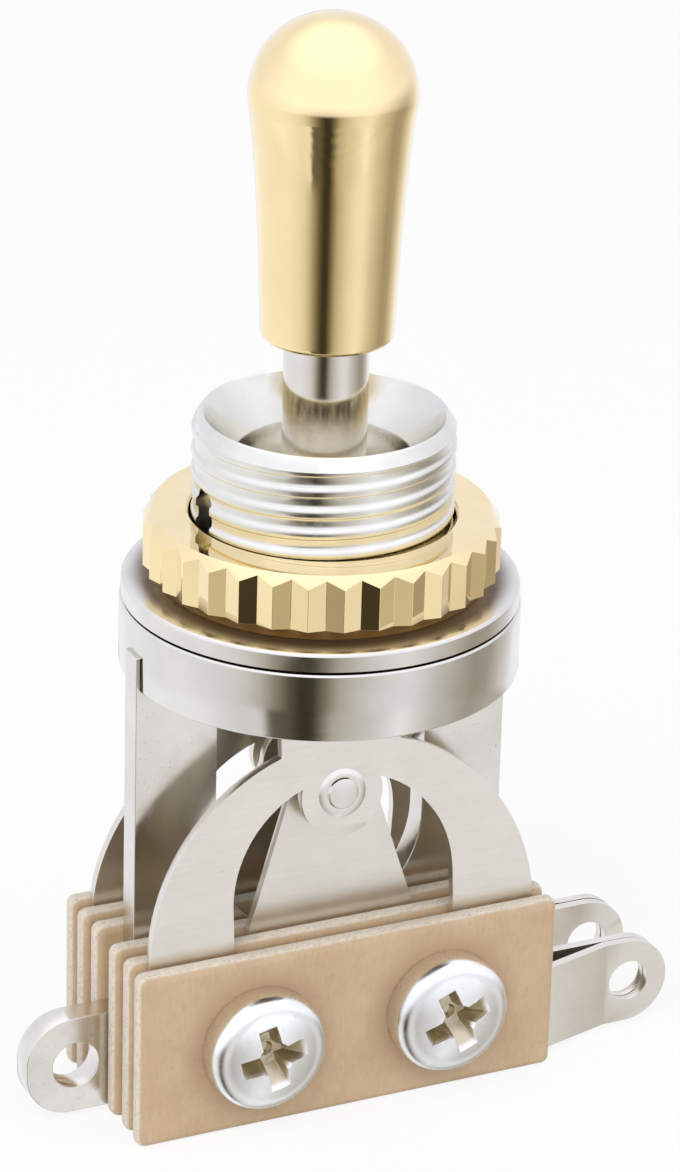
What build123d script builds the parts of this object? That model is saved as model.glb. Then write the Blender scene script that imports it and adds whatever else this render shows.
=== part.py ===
from build123d import *
from math import cos, pi, radians, sin, sqrt, tan
import os

# Three-position toggle switch for a panel hole, with a pair of spring contacts on each side of a
# flat centre frame. Millimetres, +Z up. The origin is on the bushing's axis, in the plane of the
# flange's top face, which seats against the panel. X runs along the insulating plates, the lever
# swings to the front (-Y) and to the back (+Y), and the common piece at Y=0 is the centre frame.

# ---- Clearances, each measured on one side ------------------------------------------------------
THREAD_PLAY = 0.08        # dress nut round the barrel
SWIVEL_PLAY = 0.15        # ball in its seat, pivot pin in its slots
SLIP_PLAY = 0.03          # pieces slipped together and staked or clamped
LEAF_AIR = 0.25           # cam to the leaf beside it, lever upright
CONTACT_AIR = 0.02        # between two closed contacts

# ---- Threaded bushing ---------------------------------------------------------------------------
THREAD_R = 6.0            # M12 barrel
THREAD_PITCH = 1.0
THREAD_CREST = 0.4        # share of the pitch that is crest, blunt under the plating
THREAD_FLANK = 30.0       # degrees from square to the axis
THREAD_RISE = 0.3         # plain foot of the barrel, below the lowest groove
BARREL_H = 7.9            # above the flange
RIM_W = 0.1               # flat rim round the mouth
RIM_CHAMFER = 0.4
RIM_LEAD = 0.58           # height of the chamfer that leads a nut on
MOUTH_DEPTH = 1.9         # conical mouth
HOLE_R = 3.94             # throat that the lever comes out of
FLANGE_R = 9.2
FLANGE_T = 0.9
FLANGE_EDGE_R = 0.25
KEYWAY_W = 1.5            # milled slot on the -X side of the barrel
KEYWAY_DEPTH = 0.7
KEYWAY_H = 5.0
SPIGOT_WALL = 2.15        # staked spigot under the flange
STAKE_REACH = 0.5
STAKE_T = 0.45

# ---- Lever, its ball, pivot pin and cam ---------------------------------------------------------
ROD_R = 1.94
BALL_CATCH = 0.36         # ball radius past the throat's
PIVOT_Z = 1.6             # swing axis, along X
BALL_UNDERCUT = 1.3       # flat turned on the underside of the ball
ROOT_FILLET = 0.7         # rod into ball
STEM_R = 1.2
PIN_R = 0.75
PIN_SEAT = 0.5            # depth of the pin's slots in the barrel's bore
RING_REACH = 0.55         # how far the retaining ring reaches under the ball
RING_GRIP = 0.45          # how deep it sits in its groove
RING_T = 0.6
RING_GAP = 2.6            # opening of the split ring
CAM_Z = -5.6
CAM_L = 6.4
CAM_COVER = 1.1           # stem inside the cam, past the cam's axis

# ---- Tip ----------------------------------------------------------------------------------------
TIP_BOTTOM = 11.55
TIP_H = 14.9
TIP_FOOT_R = 3.02
TIP_WAIST_R = 3.14        # a little above the foot
TIP_WAIST_H = 3.2
TIP_MID_R = 3.42
TIP_MID_H = 7.9
TIP_HEAD_R = 3.79         # crease below the dome
TIP_DOME_H = 3.65
TIP_EDGE_R = 0.3
STUD_R = 1.5              # threaded end of the lever inside the tip
STUD_L = 6.0
SOCKET_DEPTH = 0.8        # counterbore over the rod's shoulder
SOCKET_SPARE = 0.5        # room past the stud's end

# ---- Dress nut ----------------------------------------------------------------------------------
NUT_R = 8.17              # over the ridges
NUT_H = 3.2
NUT_GROOVES = 32
NUT_GROOVE_DEPTH = 0.27
NUT_TURN = 4.8            # degrees from +X to the first ridge
NUT_FACE_R = 7.75         # flat top ends here
NUT_TOP_DROP = 0.55       # fall of the top bevel
NUT_SEAT_R = 7.5          # flat bottom, on the panel
NUT_COLLAR_H = 0.6        # plain bevelled collar below the grooves
NUT_TRAVEL = 4.5          # winds up the barrel to here

# ---- Frame cup and centre frame -----------------------------------------------------------------
CUP_H = 3.3
CUP_TOP_T = 1.1
CUP_WALL = 0.9
CUP_EDGE_R = 0.25
CUP_SLOT_H = 1.7          # slots at both ends for the frame's shoulders
FRAME_T = 1.3
FRAME_PROUD = 0.16        # shoulders stand this far out of the cup
LEG_L = 12.4              # from the cup's rim down to the stacks
WINDOW_R = 5.3            # half width of the U window, and its round bottom
WINDOW_CENTRE = 3.8       # centre of the round bottom above the stacks' top

# ---- Insulating plates and screws ---------------------------------------------------------------
PLATE_L = 21.4
PLATE_H = 8.9
PLATE_T = 1.05
PLATE_CORNER_R = 0.45
SCREW_X = 4.7
SCREW_R = 1.5             # M3
HEAD_R = 2.9
HEAD_H = 1.9
HEAD_DOME = 0.75          # rise of the head's crown, part of its height
RECESS_L = 3.7
RECESS_W = 0.95
RECESS_DEPTH = 1.3
SLEEVE_T = 0.5
BOLT_NUT_AF = 5.5
BOLT_NUT_T = 2.2
BOLT_NUT_BEVEL = 0.3
SCREW_END = 0.8           # screw standing out of its nut

# ---- Spring leaves and contacts -----------------------------------------------------------------
LEAF_T = 0.45
LEAF_INSET = 0.3          # leaves and frame stop short of the plates' bottom
LEAF_SINK = 1.0           # leaf foot below the stacks' top
FOOT_HALF = 9.8           # half width of every leaf's foot
BEND_UP = 0.3             # leaves lean in from this far above the stacks
ARCH_LEAN = 6.0           # degrees
TONGUE_LEAN = 3.0
ARCH_R = 9.8
ARCH_DROP = 0.4           # centre of the outer arc below the stacks' top
ARCH_IN_R = 5.6
ARCH_IN_RISE = 2.0        # centre of the inner arc above the stacks' top
PAD_R = 2.05              # lobe under the contact, and the tongue's round end
TAB_HALF = 3.0
TAB_OVER = 1.6            # tab reaches past the cam's axis
TONGUE_HALF = 4.2         # at the stacks' top
CONTACT_RISE = 6.7        # contacts above the stacks' top
CONTACT_R = 1.0
CONTACT_DOME = 0.12
RIVET_R = 0.55
RIVET_HEAD_R = 0.9
RIVET_HEAD_T = 0.16

# ---- Solder lugs --------------------------------------------------------------------------------
LUG_REACH = 7.2           # past the plates' end
LUG_H = 4.3
LUG_HOLE_R = 1.05
LUG_HOLE_INSET = 2.05
LUG_BEND_IN = 0.25        # first bend, outside the plates
LUG_BEND_RUN = 3.6        # from the first bend to the second
LUG_PINCH = 0.06          # between the two lugs of one side
GROUND_REACH = 3.95
GROUND_H = 4.9
GROUND_CORNER_R = 2.2
GROUND_HOLE_R = 1.15
GROUND_HOLE_INSET = 2.45

# ---- Places that follow -------------------------------------------------------------------------
BALL_R = HOLE_R + BALL_CATCH
SEAT_R = BALL_R + SWIVEL_PLAY
SPIGOT_R = SEAT_R + SPIGOT_WALL
CUP_TOP = -FLANGE_T
CUP_CEILING = CUP_TOP - CUP_TOP_T
CUP_RIM = CUP_TOP - CUP_H
CUP_BORE = FLANGE_R - CUP_WALL
BUSHING_FOOT = CUP_CEILING - STAKE_T
STACK_TOP = CUP_RIM - LEG_L
STACK_FOOT = STACK_TOP - PLATE_H
STACK_MID = STACK_TOP - PLATE_H / 2
FRAME_FOOT = STACK_FOOT + LEAF_INSET
FOOT_TOP = STACK_TOP - LEAF_SINK
CONTACT_Z = STACK_TOP + CONTACT_RISE
BEND_Z = STACK_TOP + BEND_UP

# Distances of the layers' inner faces from the frame's middle plane
INNER_PLATE_Y = FRAME_T / 2
TONGUE_Y = INNER_PLATE_Y + PLATE_T
MIDDLE_PLATE_Y = TONGUE_Y + LEAF_T
ARCH_Y = MIDDLE_PLATE_Y + PLATE_T
OUTER_PLATE_Y = ARCH_Y + LEAF_T
STACK_Y = OUTER_PLATE_Y + PLATE_T

SLEEVE_IN_R = SCREW_R + SLIP_PLAY
SLEEVE_R = SLEEVE_IN_R + SLEEVE_T
LAYER_HOLE_R = SLEEVE_R + SLIP_PLAY

# The cam just fits between the two leaning tabs
TAB_FACE_Y = ARCH_Y - (CAM_Z - BEND_Z) * tan(radians(ARCH_LEAN))
CAM_R = TAB_FACE_Y * cos(radians(ARCH_LEAN)) - LEAF_AIR

# The retaining ring's top edge just clears the underside of the ball
RING_TOP = PIVOT_Z - sqrt(SEAT_R**2 - (BALL_R - RING_REACH)**2)
RING_LOW = RING_TOP - RING_T

# The outer lug steps in until it all but touches the inner one
ARCH_LUG_STEP = ARCH_Y - MIDDLE_PLATE_Y - LUG_PINCH

FRONT = -1
BACK = 1
FAR = 100.0               # longer than anything that it cuts
CUT_OVER = 1.0            # how far a cutter starts outside what it cuts
QUARTER_ROUND = 0.5523    # handle length with which a Bezier curve follows a quarter circle


def revolve_profile(points):
    """A turned solid from the (radius, height) corners of its half section."""
    return revolve(Plane.XZ * make_face(Polyline(*points, close=True)), Axis.Z)


def ring(outer, inner, low, high):
    return revolve_profile([(inner, low), (outer, low), (outer, high), (inner, high)])


def rod(radius, low, high):
    return revolve_profile([(0, low), (radius, low), (radius, high), (0, high)])


def block(x0, x1, y0, y1, z0, z1):
    """A box between two corners."""
    size = (x1 - x0, y1 - y0, z1 - z0)
    middle = ((x0 + x1) / 2, (y0 + y1) / 2, (z0 + z1) / 2)
    return Location(middle) * Box(*size)


def across(x, z, radius, y0, y1):
    """A round bar along Y."""
    return Location((x, (y0 + y1) / 2, z), (90, 0, 0)) * Cylinder(radius, abs(y1 - y0))


def plate_face(sketch, y0, y1):
    """Extrude a sketch drawn in X and Z between two depths."""
    standing = Plane.XZ.offset(-min(y0, y1)) * sketch
    return extrude(standing, -abs(y1 - y0))


def rect_xz(x0, x1, z0, z1):
    return Location(((x0 + x1) / 2, (z0 + z1) / 2)) * Rectangle(x1 - x0, z1 - z0)


def disc_xz(x, z, radius):
    return Location((x, z)) * Circle(radius)


# ---- Turned parts -------------------------------------------------------------------------------
def thread_groove(middle):
    """Ring groove with the thread's flanks and blunt crests; a row of them stands for the thread."""
    root = THREAD_PITCH / 16
    mouth = THREAD_PITCH * (1 - THREAD_CREST) / 2
    floor = THREAD_R - (mouth - root) / tan(radians(THREAD_FLANK))
    outside = THREAD_R + CUT_OVER
    return revolve_profile([
        (floor, middle - root), (THREAD_R, middle - mouth), (outside, middle - mouth),
        (outside, middle + mouth), (THREAD_R, middle + mouth), (floor, middle + root)])


def make_bushing():
    """Barrel, flange and spigot turned in one piece, with the ball's seat inside."""
    throat_low = PIVOT_Z + sqrt(SEAT_R**2 - HOLE_R**2)
    body = revolve_profile([
        (HOLE_R, BUSHING_FOOT), (SPIGOT_R + STAKE_REACH, BUSHING_FOOT),
        (SPIGOT_R + STAKE_REACH, CUP_CEILING), (SPIGOT_R, CUP_CEILING),
        (SPIGOT_R, CUP_TOP), (FLANGE_R, CUP_TOP), (FLANGE_R, 0), (THREAD_R, 0),
        (THREAD_R, BARREL_H - RIM_LEAD), (THREAD_R - RIM_CHAMFER, BARREL_H),
        (THREAD_R - RIM_CHAMFER - RIM_W, BARREL_H), (HOLE_R, BARREL_H - MOUTH_DEPTH)])
    rims = body.edges().filter_by(GeomType.CIRCLE)
    rims = [e for e in rims if abs(e.radius - FLANGE_R) < 1e-6]
    body = fillet(rims, FLANGE_EDGE_R)
    crest = BARREL_H - RIM_LEAD
    while crest - THREAD_PITCH >= THREAD_RISE:
        body -= thread_groove(crest - THREAD_PITCH / 2)
        crest -= THREAD_PITCH
    body -= Location((0, 0, PIVOT_Z)) * Sphere(SEAT_R)
    body -= rod(SEAT_R, BUSHING_FOOT - CUT_OVER, PIVOT_Z)
    body -= ring(SEAT_R + RING_GRIP + SLIP_PLAY, HOLE_R, RING_LOW - SLIP_PLAY, RING_TOP + SLIP_PLAY)
    slot_r = PIN_R + SWIVEL_PLAY
    reach = SEAT_R + PIN_SEAT
    seat = Location((0, 0, PIVOT_Z), (0, 90, 0)) * Cylinder(slot_r, 2 * reach)
    way_in = block(-reach, reach, -slot_r, slot_r, BUSHING_FOOT - CUT_OVER, PIVOT_Z)
    body -= seat + way_in
    half = KEYWAY_W / 2
    outside = -THREAD_R - CUT_OVER
    key = block(outside, -THREAD_R + KEYWAY_DEPTH, -half, half, 0, KEYWAY_H - half)
    round_end = Cylinder(half, CUT_OVER + KEYWAY_DEPTH, align=(Align.CENTER, Align.CENTER, Align.MIN))
    key += Location((outside, 0, KEYWAY_H - half), (0, 90, 0)) * round_end
    return body - key


def make_retaining_ring():
    """Split ring in the bore's groove, under the ball."""
    outer = SEAT_R + RING_GRIP
    inner = BALL_R - RING_REACH
    body = ring(outer, inner, RING_LOW, RING_TOP)
    return body - block(-RING_GAP / 2, RING_GAP / 2, 0, FAR, -FAR, FAR)


def make_lever():
    """Rod, ball and stem turned in one piece, cross-drilled for the pivot pin."""
    ball = Location((0, 0, PIVOT_Z)) * Sphere(BALL_R)
    ball_low = PIVOT_Z - BALL_R + BALL_UNDERCUT
    ball -= block(-FAR, FAR, -FAR, FAR, -FAR, ball_low)
    shoulder = TIP_BOTTOM + SOCKET_DEPTH
    body = ball + rod(ROD_R, PIVOT_Z, shoulder)
    joints = [e for e in body.edges().filter_by(GeomType.CIRCLE)
              if abs(e.radius - ROD_R) < 1e-6 and PIVOT_Z < e.center().Z < shoulder - 1]
    body = fillet(joints, ROOT_FILLET)
    body += rod(STEM_R, CAM_Z - CAM_COVER, PIVOT_Z)
    body += rod(STUD_R, shoulder, shoulder + STUD_L)
    pin_hole = Location((0, 0, PIVOT_Z), (0, 90, 0)) * Cylinder(PIN_R + SLIP_PLAY, FAR)
    return body - pin_hole


def make_pivot_pin():
    half = SEAT_R + PIN_SEAT - SWIVEL_PLAY
    return Location((0, 0, PIVOT_Z), (0, 90, 0)) * Cylinder(PIN_R, 2 * half)


def make_cam():
    """Round insulating cam along X, pushed on the lever's stem."""
    body = Location((0, 0, CAM_Z), (0, 90, 0)) * Cylinder(CAM_R, CAM_L)
    body = chamfer(body.edges().filter_by(GeomType.CIRCLE), 0.2)
    return body - rod(STEM_R + SLIP_PLAY, CAM_Z - CAM_COVER - SLIP_PLAY, FAR)


def make_tip():
    """Turned handle: rounded foot, slow flare up to the crease, domed head, stepped socket."""
    crease = TIP_BOTTOM + TIP_H - TIP_DOME_H
    shoulder = TIP_BOTTOM + SOCKET_DEPTH
    hole_top = shoulder + STUD_L + SOCKET_SPARE
    stud_hole_r = STUD_R + SLIP_PLAY
    rod_hole_r = ROD_R + SLIP_PLAY
    rounding = (TIP_FOOT_R - TIP_EDGE_R, TIP_BOTTOM + TIP_EDGE_R)
    socket = Polyline((0, hole_top), (stud_hole_r, hole_top), (stud_hole_r, shoulder),
                      (rod_hole_r, shoulder), (rod_hole_r, TIP_BOTTOM), (rounding[0], TIP_BOTTOM))
    edge = CenterArc(rounding, TIP_EDGE_R, start_angle=-90, arc_size=90)
    flare = Spline(
        (TIP_FOOT_R, rounding[1]),
        (TIP_WAIST_R, TIP_BOTTOM + TIP_WAIST_H),
        (TIP_MID_R, TIP_BOTTOM + TIP_MID_H),
        (TIP_HEAD_R, crease))
    top = TIP_BOTTOM + TIP_H
    swell = TIP_HEAD_R * QUARTER_ROUND
    dome = Bezier((TIP_HEAD_R, crease), (TIP_HEAD_R, crease + TIP_DOME_H * QUARTER_ROUND),
                  (swell, top), (0, top))
    axis_line = Line((0, top), (0, hole_top))
    return revolve(Plane.XZ * make_face([socket, edge, flare, dome, axis_line]), Axis.Z)


def make_dress_nut():
    """Ring nut with V grooves between sharp ridges, a top bevel, and a plain collar below them."""
    valley = NUT_R - NUT_GROOVE_DEPTH
    bore = THREAD_R + THREAD_PLAY
    star = []
    for i in range(2 * NUT_GROOVES):
        r = NUT_R if i % 2 == 0 else valley
        a = radians(NUT_TURN) + pi * i / NUT_GROOVES
        star.append((r * cos(a), r * sin(a)))
    prism = Location((0, 0, NUT_COLLAR_H)) * extrude(make_face(Polyline(*star, close=True)), NUT_H)
    blank = revolve_profile([
        (bore, NUT_COLLAR_H), (NUT_R, NUT_COLLAR_H), (NUT_R, NUT_H - NUT_TOP_DROP),
        (NUT_FACE_R, NUT_H), (bore, NUT_H)])
    inside = valley * cos(pi / NUT_GROOVES)
    collar = revolve_profile([(bore, 0), (NUT_SEAT_R, 0), (inside, NUT_COLLAR_H), (bore, NUT_COLLAR_H)])
    return (prism & blank) + collar


# ---- Sheet-metal frame --------------------------------------------------------------------------
def make_frame_cup():
    """Drawn cup with a closed top, staked to the bushing, slotted at both ends."""
    body = revolve_profile([
        (SPIGOT_R + SLIP_PLAY, CUP_CEILING), (CUP_BORE, CUP_CEILING), (CUP_BORE, CUP_RIM),
        (FLANGE_R, CUP_RIM), (FLANGE_R, CUP_TOP), (SPIGOT_R + SLIP_PLAY, CUP_TOP)])
    rims = [e for e in body.edges().filter_by(GeomType.CIRCLE)
            if abs(e.radius - FLANGE_R) < 1e-6 and e.center().Z > CUP_TOP - 0.1]
    body = fillet(rims, CUP_EDGE_R)
    half = FRAME_T / 2 + SLIP_PLAY
    return body - block(-FAR, FAR, -half, half, CUP_RIM - CUT_OVER, CUP_RIM + CUP_SLOT_H)


def make_frame_plate():
    """Flat centre frame: shoulders in the cup's slots, a U window, and the ground lug."""
    side = FLANGE_R + FRAME_PROUD
    inside = CUP_BORE - SLIP_PLAY
    slot_top = CUP_RIM + CUP_SLOT_H
    outline = rect_xz(-side, side, FRAME_FOOT, slot_top)
    outline += rect_xz(-inside, inside, FRAME_FOOT, CUP_CEILING)
    stake_half = SPIGOT_R + STAKE_REACH + SLIP_PLAY
    outline -= rect_xz(-stake_half, stake_half, BUSHING_FOOT - SLIP_PLAY, 0)
    window_z = STACK_TOP + WINDOW_CENTRE
    outline -= rect_xz(-WINDOW_R, WINDOW_R, window_z, 0) + disc_xz(0, window_z, WINDOW_R)
    lug_end = -PLATE_L / 2 - GROUND_REACH
    lug = rect_xz(lug_end, 0, FRAME_FOOT, FRAME_FOOT + GROUND_H)
    ends = [v for v in lug.vertices() if v.X < lug_end + 0.1]
    outline += fillet(ends, GROUND_CORNER_R) - rect_xz(-side + 0.5, FAR, -FAR, FAR)
    lug_z = FRAME_FOOT + GROUND_H / 2
    outline -= disc_xz(lug_end + GROUND_HOLE_INSET, lug_z, GROUND_HOLE_R)
    for x in (-SCREW_X, SCREW_X):
        outline -= disc_xz(x, STACK_MID, LAYER_HOLE_R)
    return plate_face(outline, -FRAME_T / 2, FRAME_T / 2)


# ---- Clamped stacks -----------------------------------------------------------------------------
def make_insulator(inner_face, side):
    """Flat phenolic plate with two screw holes."""
    outline = rect_xz(-PLATE_L / 2, PLATE_L / 2, STACK_FOOT, STACK_TOP)
    outline = fillet(outline.vertices(), PLATE_CORNER_R)
    for x in (-SCREW_X, SCREW_X):
        outline -= disc_xz(x, STACK_MID, LAYER_HOLE_R)
    return plate_face(outline, side * inner_face, side * (inner_face + PLATE_T))


def leaf_foot():
    """Outline that all leaves share: the clamped foot and the lug to the right."""
    lug_z = FRAME_FOOT + LUG_H / 2
    end = PLATE_L / 2 + LUG_REACH
    outline = rect_xz(-FOOT_HALF, FOOT_HALF, FRAME_FOOT, FOOT_TOP)
    outline += rect_xz(0, end - LUG_H / 2, FRAME_FOOT, FRAME_FOOT + LUG_H)
    outline += disc_xz(end - LUG_H / 2, lug_z, LUG_H / 2)
    outline -= disc_xz(end - LUG_HOLE_INSET, lug_z, LUG_HOLE_R)
    for x in (-SCREW_X, SCREW_X):
        outline -= disc_xz(x, STACK_MID, LAYER_HOLE_R)
    return outline


def arch_spring():
    """Horseshoe above the foot, with the pad under the contact and the tab up to the cam."""
    outer_z = STACK_TOP - ARCH_DROP
    inner_z = STACK_TOP + ARCH_IN_RISE
    outline = disc_xz(0, outer_z, ARCH_R) - rect_xz(-FAR, FAR, -FAR, outer_z)
    outline += rect_xz(-ARCH_R, ARCH_R, FOOT_TOP, outer_z)
    outline += rect_xz(-TAB_HALF, TAB_HALF, CONTACT_Z, CAM_Z + TAB_OVER)
    outline -= disc_xz(0, inner_z, ARCH_IN_R) + rect_xz(-ARCH_IN_R, ARCH_IN_R, FOOT_TOP, inner_z)
    outline += disc_xz(0, CONTACT_Z, PAD_R)
    return outline - disc_xz(0, CONTACT_Z, RIVET_R + SLIP_PLAY)


def tongue_spring():
    """Tapered tongue above the foot, with a round end at the contact."""
    low = FOOT_TOP
    taper = Polyline((-TONGUE_HALF, low), (TONGUE_HALF, low), (TONGUE_HALF, STACK_TOP),
                     (PAD_R, CONTACT_Z), (-PAD_R, CONTACT_Z), (-TONGUE_HALF, STACK_TOP), close=True)
    outline = make_face(taper) + disc_xz(0, CONTACT_Z, PAD_R)
    return outline - disc_xz(0, CONTACT_Z, RIVET_R + SLIP_PLAY)


def make_leaf(spring, inner_face, lean, lug_step, side):
    """One blanked leaf: flat foot, spring leaning in, and lug stepped in to meet its neighbour."""
    outer = inner_face + LEAF_T
    run = FAR * tan(radians(lean))
    outer_bend = BEND_Z + LEAF_T * tan(radians(lean / 2))
    standing = Polyline((inner_face, FRAME_FOOT), (outer, FRAME_FOOT), (outer, outer_bend),
                        (outer - run, outer_bend + FAR), (inner_face - run, BEND_Z + FAR),
                        (inner_face, BEND_Z), close=True)
    upright = extrude(Plane.YZ.offset(-FAR) * make_face(standing), 2 * FAR)
    body = upright & plate_face(spring, -FAR, FAR)
    bend = PLATE_L / 2 + LUG_BEND_IN
    flat = bend + LUG_BEND_RUN
    lying = Polyline((-FAR, inner_face), (bend, inner_face), (flat, inner_face - lug_step),
                     (FAR, inner_face - lug_step), (FAR, outer - lug_step), (flat, outer - lug_step),
                     (bend, outer), (-FAR, outer), close=True)
    ribbon = extrude(Plane.XY.offset(-FAR) * make_face(lying), 2 * FAR)
    body += ribbon & plate_face(leaf_foot(), -FAR, FAR)
    return body if side == BACK else mirror(body, Plane.XZ)


def contact_frame(inner_face, lean, side, outward):
    """Plane on a leaning leaf at contact height, facing along the leaf's normal."""
    angle = radians(lean)
    z = CONTACT_Z
    y = inner_face - (z - BEND_Z) * tan(angle)
    facing = -1
    if outward:
        y += LEAF_T / cos(angle)
        facing = 1
    normal = (0, side * facing * cos(angle), facing * sin(angle))
    return Plane(origin=(0, side * y, z), x_dir=(1, 0, 0), z_dir=normal)


def contact_height():
    """Height of each of two equal contacts that meet between the leaves."""
    height = CONTACT_Z - BEND_Z
    arch_face = ARCH_Y - height * tan(radians(ARCH_LEAN))
    tongue_face = TONGUE_Y + LEAF_T / cos(radians(TONGUE_LEAN)) - height * tan(radians(TONGUE_LEAN))
    return (arch_face - tongue_face - CONTACT_AIR) / 2


def make_contact(inner_face, lean, side, outward):
    """Domed contact riveted through a leaf, with its head closed on the other side."""
    high = contact_height()
    low = high - CONTACT_DOME
    back = -LEAF_T
    head = back - RIVET_HEAD_T
    crown = (CONTACT_R**2 + CONTACT_DOME**2) / (2 * CONTACT_DOME)
    body = revolve_profile([(0, head), (RIVET_HEAD_R, head), (RIVET_HEAD_R, back), (RIVET_R, back),
                            (RIVET_R, 0), (CONTACT_R, 0), (CONTACT_R, high), (0, high)])
    body &= Location((0, 0, high - crown)) * Sphere(crown) + rod(CONTACT_R + CUT_OVER, -FAR, low)
    return contact_frame(inner_face, lean, side, outward).location * body


# ---- Fasteners ----------------------------------------------------------------------------------
def make_screw(x):
    """Pan-head machine screw from the front, with a cross recess."""
    crown = (HEAD_R**2 + HEAD_DOME**2) / (2 * HEAD_DOME)
    body = rod(HEAD_R, 0, HEAD_H) & Location((0, 0, HEAD_H - crown)) * Sphere(crown)
    for turn in (0, 90):
        arm = Box(RECESS_L, RECESS_W, RECESS_DEPTH, align=(Align.CENTER, Align.CENTER, Align.MAX))
        body -= Location((0, 0, HEAD_H), (0, 0, turn)) * arm
    length = 2 * STACK_Y + BOLT_NUT_T + SCREW_END
    body += rod(SCREW_R, -length, 0)
    return Plane(origin=(x, -STACK_Y, STACK_MID), x_dir=(1, 0, 0), z_dir=(0, -1, 0)).location * body


def make_sleeve(x):
    """Insulating tube round a screw, through every layer."""
    half = STACK_Y - SLIP_PLAY
    return across(x, STACK_MID, SLEEVE_R, -half, half) - across(x, STACK_MID, SLEEVE_IN_R, -FAR, FAR)


def make_screw_nut(x):
    """Hexagon nut at the back of the stacks."""
    corner_r = BOLT_NUT_AF / 2 / cos(pi / 6)
    body = extrude(RegularPolygon(corner_r, 6), BOLT_NUT_T)
    body &= revolve_profile([
        (SCREW_R + SLIP_PLAY, 0), (corner_r, 0), (corner_r, BOLT_NUT_T - BOLT_NUT_BEVEL),
        (corner_r - 2 * BOLT_NUT_BEVEL, BOLT_NUT_T), (SCREW_R + SLIP_PLAY, BOLT_NUT_T)])
    return Plane(origin=(x, STACK_Y, STACK_MID), x_dir=(1, 0, 0), z_dir=(0, 1, 0)).location * body


nodes = {
    "tip": make_tip(),
    "lever": make_lever(),
    "pivot_pin": make_pivot_pin(),
    "cam": make_cam(),
    "bushing": make_bushing(),
    "retaining_ring": make_retaining_ring(),
    "dress_nut": make_dress_nut(),
    "frame_cup": make_frame_cup(),
    "frame_plate": make_frame_plate(),
}
for name, side in (("front", FRONT), ("back", BACK)):
    nodes["insulator_inner_" + name] = make_insulator(INNER_PLATE_Y, side)
    nodes["insulator_middle_" + name] = make_insulator(MIDDLE_PLATE_Y, side)
    nodes["insulator_outer_" + name] = make_insulator(OUTER_PLATE_Y, side)
    nodes["arch_leaf_" + name] = make_leaf(arch_spring(), ARCH_Y, ARCH_LEAN, ARCH_LUG_STEP, side)
    nodes["tongue_leaf_" + name] = make_leaf(tongue_spring(), TONGUE_Y, TONGUE_LEAN, 0, side)
    nodes["arch_contact_" + name] = make_contact(ARCH_Y, ARCH_LEAN, side, outward=False)
    nodes["tongue_contact_" + name] = make_contact(TONGUE_Y, TONGUE_LEAN, side, outward=True)
for name, x in (("left", -SCREW_X), ("right", SCREW_X)):
    nodes["screw_" + name] = make_screw(x)
    nodes["screw_sleeve_" + name] = make_sleeve(x)
    nodes["screw_nut_" + name] = make_screw_nut(x)

os.makedirs("parts", exist_ok=True)
for name, shape in nodes.items():
    export_step(shape, "parts/" + name + ".step")
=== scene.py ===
from math import asin, atan2, ceil, cos, degrees, exp, hypot, pi, radians, sin, sqrt, tan

import bpy
from mathutils import Euler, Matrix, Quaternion, Vector


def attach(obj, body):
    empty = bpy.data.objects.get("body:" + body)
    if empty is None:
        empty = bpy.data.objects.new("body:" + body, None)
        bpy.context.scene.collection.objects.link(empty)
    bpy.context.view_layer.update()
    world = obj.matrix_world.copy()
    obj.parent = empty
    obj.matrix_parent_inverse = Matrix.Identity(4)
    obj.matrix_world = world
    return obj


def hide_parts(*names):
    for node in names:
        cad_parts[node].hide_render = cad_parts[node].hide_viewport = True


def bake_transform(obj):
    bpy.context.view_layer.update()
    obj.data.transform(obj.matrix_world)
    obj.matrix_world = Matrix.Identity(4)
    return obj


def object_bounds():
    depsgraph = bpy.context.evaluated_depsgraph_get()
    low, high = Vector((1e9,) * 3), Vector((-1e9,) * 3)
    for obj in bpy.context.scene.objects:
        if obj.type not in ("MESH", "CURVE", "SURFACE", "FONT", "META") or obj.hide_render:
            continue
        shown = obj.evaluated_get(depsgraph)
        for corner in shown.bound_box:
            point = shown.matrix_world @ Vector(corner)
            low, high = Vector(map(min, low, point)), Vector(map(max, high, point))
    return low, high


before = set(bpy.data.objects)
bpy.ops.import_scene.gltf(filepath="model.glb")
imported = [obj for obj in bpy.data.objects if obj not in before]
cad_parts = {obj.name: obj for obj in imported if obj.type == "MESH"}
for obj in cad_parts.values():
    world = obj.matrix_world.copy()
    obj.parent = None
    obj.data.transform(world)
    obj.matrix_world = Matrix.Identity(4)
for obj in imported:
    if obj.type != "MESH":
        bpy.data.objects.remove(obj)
cad_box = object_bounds()
bpy.ops.object.select_all(action="DESELECT")
MM = 0.001

# ---- Camera -------------------------------------------------------------------------------------
# A long lens, a little above the switch and to the left of its front, rolled slightly so that the
# lever leans to the right.
CAMERA_TARGET = Vector((1.0, 0.0, -0.84)) * MM
CAMERA_DISTANCE = 211.7 * MM
CAMERA_TURN = radians(25.64)
CAMERA_RISE = radians(23.59)
CAMERA_ROLL = radians(1.66)
CAMERA_LENS = 141.9

to_camera = Vector((-sin(CAMERA_TURN) * cos(CAMERA_RISE), -cos(CAMERA_TURN) * cos(CAMERA_RISE),
                    sin(CAMERA_RISE)))
bpy.ops.object.camera_add(location=CAMERA_TARGET + CAMERA_DISTANCE * to_camera)
camera = bpy.context.object
camera.name = "camera"
camera.rotation_mode = "QUATERNION"
camera.rotation_quaternion = (-to_camera).to_track_quat("-Z", "Y") @ Quaternion((0, 0, 1), CAMERA_ROLL)
camera.data.lens = CAMERA_LENS
camera.data.clip_start = 0.01
bpy.context.scene.camera = camera
bpy.context.scene.view_settings.view_transform = "Standard"


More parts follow.
